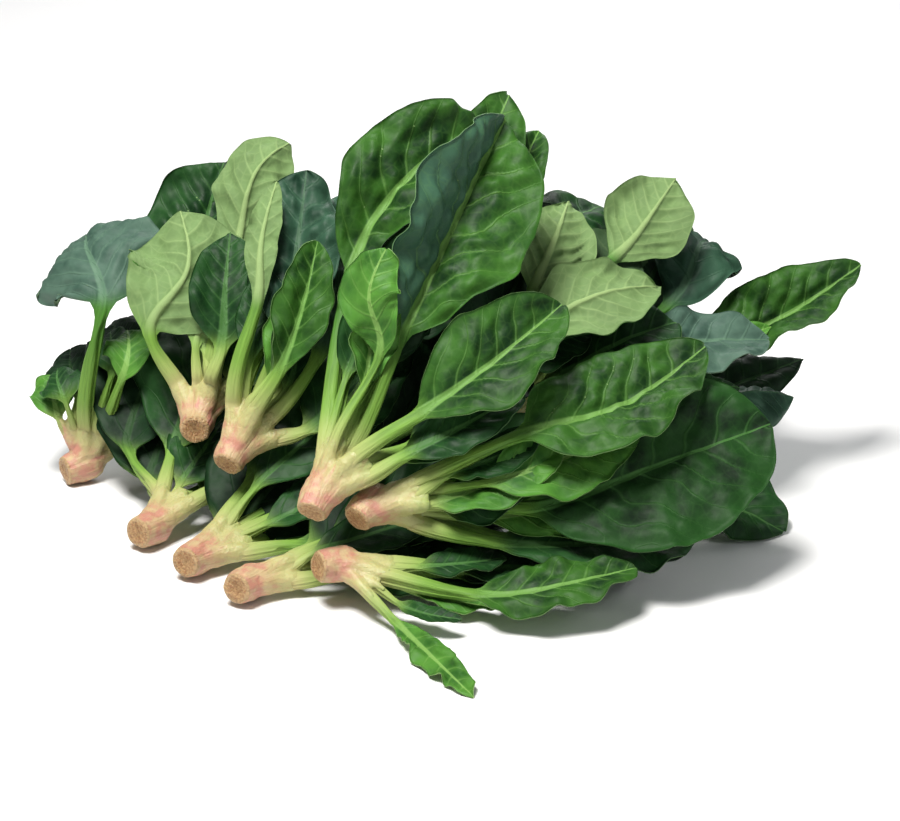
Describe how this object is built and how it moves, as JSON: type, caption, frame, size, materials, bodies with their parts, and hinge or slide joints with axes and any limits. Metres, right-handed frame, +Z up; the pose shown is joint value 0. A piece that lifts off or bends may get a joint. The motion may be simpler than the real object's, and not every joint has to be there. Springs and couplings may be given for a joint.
{
  "type": "spinach bunch",
  "caption": "Loose bunch of fresh spinach: whole young plants with pinkish root crowns, long green stalks and crinkled dark green leaves, heaped lying down.",
  "frame": {"origin": "middle of the bounding box at the height of the surface that the bunch lies on", "axes": "+X to the right along the longest side of the heap, +Y to its back, with the open front and most root crowns towards -Y and -X, +Z up"},
  "size_m": [0.4126, 0.3592, 0.2037],
  "materials": {
    "crown": "moist root crown, pink to cream with a tan cut end, satin",
    "leaf": "dark green crinkled leaf with lighter veins, soft sheen",
    "pale_leaf": "pale green underside of a leaf with raised veins, dull"
  },
  "bodies": {
    "root": {"right_crown": "crown", "right_leaf_1": "leaf", "right_leaf_2": "leaf", "right_leaf_3": "leaf", "right_leaf_4": "leaf", "right_leaf_5": "leaf", "back_crown": "crown", "back_leaf_1": "leaf", "back_leaf_2": "leaf", "back_leaf_3": "leaf", "back_leaf_4": "leaf", "back_leaf_5": "leaf", "middle_crown": "crown", "middle_leaf_1": "leaf", "middle_leaf_2": "pale_leaf", "middle_leaf_3": "pale_leaf", "middle_leaf_4": "leaf", "middle_leaf_5": "pale_leaf", "far_left_crown": "crown", "far_left_leaf_1": "leaf", "far_left_leaf_2": "leaf", "far_left_leaf_3": "leaf", "far_left_leaf_4": "leaf", "left_low_crown": "crown", "left_low_leaf_1": "leaf", "left_low_leaf_2": "leaf", "front_corner_crown": "crown", "front_corner_leaf_1": "leaf", "front_corner_leaf_2": "leaf", "front_corner_leaf_3": "leaf", "left_top_crown": "crown", "left_top_leaf_1": "leaf", "left_top_leaf_2": "leaf", "left_top_leaf_3": "pale_leaf", "left_top_leaf_4": "pale_leaf", "left_top_leaf_5": "leaf", "front_low_crown": "crown", "front_low_leaf_1": "leaf", "front_low_leaf_2": "leaf", "left_tall_crown": "crown", "left_tall_leaf_1": "leaf", "left_tall_leaf_2": "leaf", "left_tall_leaf_3": "leaf", "left_tall_leaf_4": "pale_leaf", "left_tall_leaf_5": "leaf", "front_pink_crown": "crown", "front_pink_leaf_1": "leaf", "front_pink_leaf_2": "leaf", "front_pink_leaf_3": "leaf", "front_right_crown": "crown", "front_right_leaf_1": "leaf", "front_right_leaf_2": "leaf", "front_right_leaf_3": "leaf", "front_right_leaf_4": "leaf", "tall_crown": "crown", "tall_leaf_1": "leaf", "tall_leaf_2": "leaf", "tall_leaf_3": "leaf", "tall_leaf_4": "leaf", "tall_leaf_5": "leaf"}
  },
  "joints": []
}
